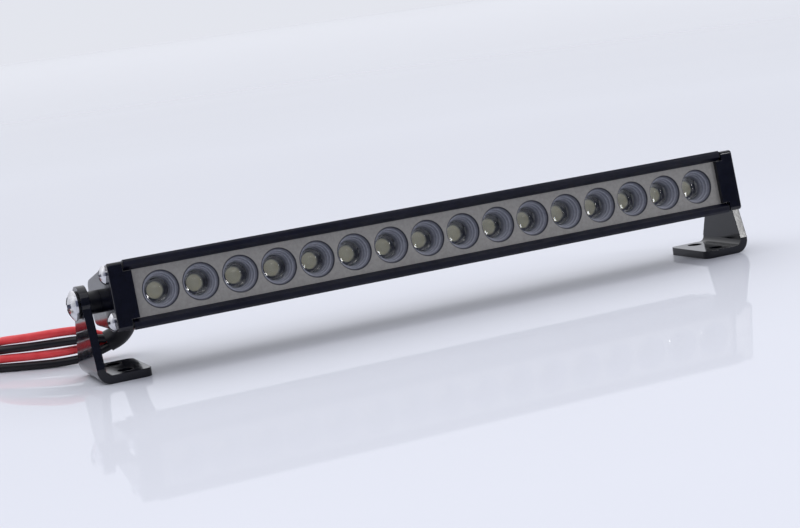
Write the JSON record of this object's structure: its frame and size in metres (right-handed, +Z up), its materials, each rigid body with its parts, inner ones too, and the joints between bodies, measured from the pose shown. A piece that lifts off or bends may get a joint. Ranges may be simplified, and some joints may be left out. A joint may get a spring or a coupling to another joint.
{
  "type": "led light bar",
  "caption": "Slim straight LED light bar in a black finned housing, with domed lenses in a grey reflector strip, swinging L-shaped feet at both ends and red and black leads.",
  "frame": {"origin": "middle of the four foot holes, on the underside of the feet", "axes": "+X along the bar, +Y from the lit face to the finned back, +Z up"},
  "size_m": [0.2062, 0.0676, 0.0252],
  "materials": {
    "anodised_black": "satin black anodised extrusion",
    "cap_black": "glossy black anodised cap",
    "bracket_black": "glossy black anodised bent sheet",
    "spacer_black": "black moulded spacer",
    "washer_black": "blackened washer",
    "gasket_rubber": "thin black seal",
    "screw_steel": "bright zinc-plated steel with a cross recess",
    "reflector_grey": "satin grey metallised plastic",
    "clear_lens": "clear moulded dome",
    "led_package": "pale package with a yellowish phosphor",
    "board_white": "aluminium-core board with white solder mask",
    "solder": "bright solder",
    "chip_black": "small ceramic chips",
    "pad_blue": "soft heat-conducting pad",
    "bush_rubber": "black rubber bush",
    "shrink_sleeve": "black shrink sleeve, slightly shiny",
    "red_insulation": "soft red insulation, slightly shiny",
    "black_insulation": "soft black insulation, slightly shiny",
    "tie_nylon": "black nylon strap",
    "plug_nylon": "off-white nylon",
    "pin_brass": "bright contact pins"
  },
  "bodies": {
    "light_bar": {"black_lead_a": "black_insulation", "black_lead_b": "black_insulation", "cable_gland": "bush_rubber", "cable_sleeve": "shrink_sleeve", "cap_screws_left": "screw_steel", "cap_screws_right": "screw_steel", "circuit_board": "board_white", "coil_tie": "tie_nylon", "end_cap_left": "cap_black", "end_cap_right": "cap_black", "end_gasket_left": "gasket_rubber", "end_gasket_right": "gasket_rubber", "housing": "anodised_black", "lead_coil": "black_insulation", "led_chips": "led_package", "led_lens_01": "clear_lens", "led_lens_02": "clear_lens", "led_lens_03": "clear_lens", "led_lens_04": "clear_lens", "led_lens_05": "clear_lens", "led_lens_06": "clear_lens", "led_lens_07": "clear_lens", "led_lens_08": "clear_lens", "led_lens_09": "clear_lens", "led_lens_10": "clear_lens", "led_lens_11": "clear_lens", "led_lens_12": "clear_lens", "led_lens_13": "clear_lens", "led_lens_14": "clear_lens", "led_lens_15": "clear_lens", "led_lens_16": "clear_lens", "pivot_bolt_left": "screw_steel", "pivot_bolt_right": "screw_steel", "plug_a": "plug_nylon", "plug_b": "plug_nylon", "plug_pins_a": "pin_brass", "plug_pins_b": "pin_brass", "red_lead_a": "red_insulation", "red_lead_b": "red_insulation", "reflector_panel": "reflector_grey", "resistors": "chip_black", "solder_joints": "solder", "spacer_left": "spacer_black", "spacer_right": "spacer_black", "thermal_pad": "pad_blue", "washer_left": "washer_black", "washer_right": "washer_black"},
    "left_bracket": {"bracket_left": "bracket_black"},
    "right_bracket": {"bracket_right": "bracket_black"}
  },
  "joints": [
    {"name": "left_tilt", "type": "hinge", "parent": "light_bar", "child": "left_bracket", "pos_m": [-0.0784, 0, 0.0162], "axis": [1, 0, 0], "range_deg": [-50, 205]},
    {"name": "right_tilt", "type": "hinge", "parent": "light_bar", "child": "right_bracket", "pos_m": [0.0784, 0, 0.0162], "axis": [1, 0, 0], "range_deg": [-50, 205]}
  ]
}
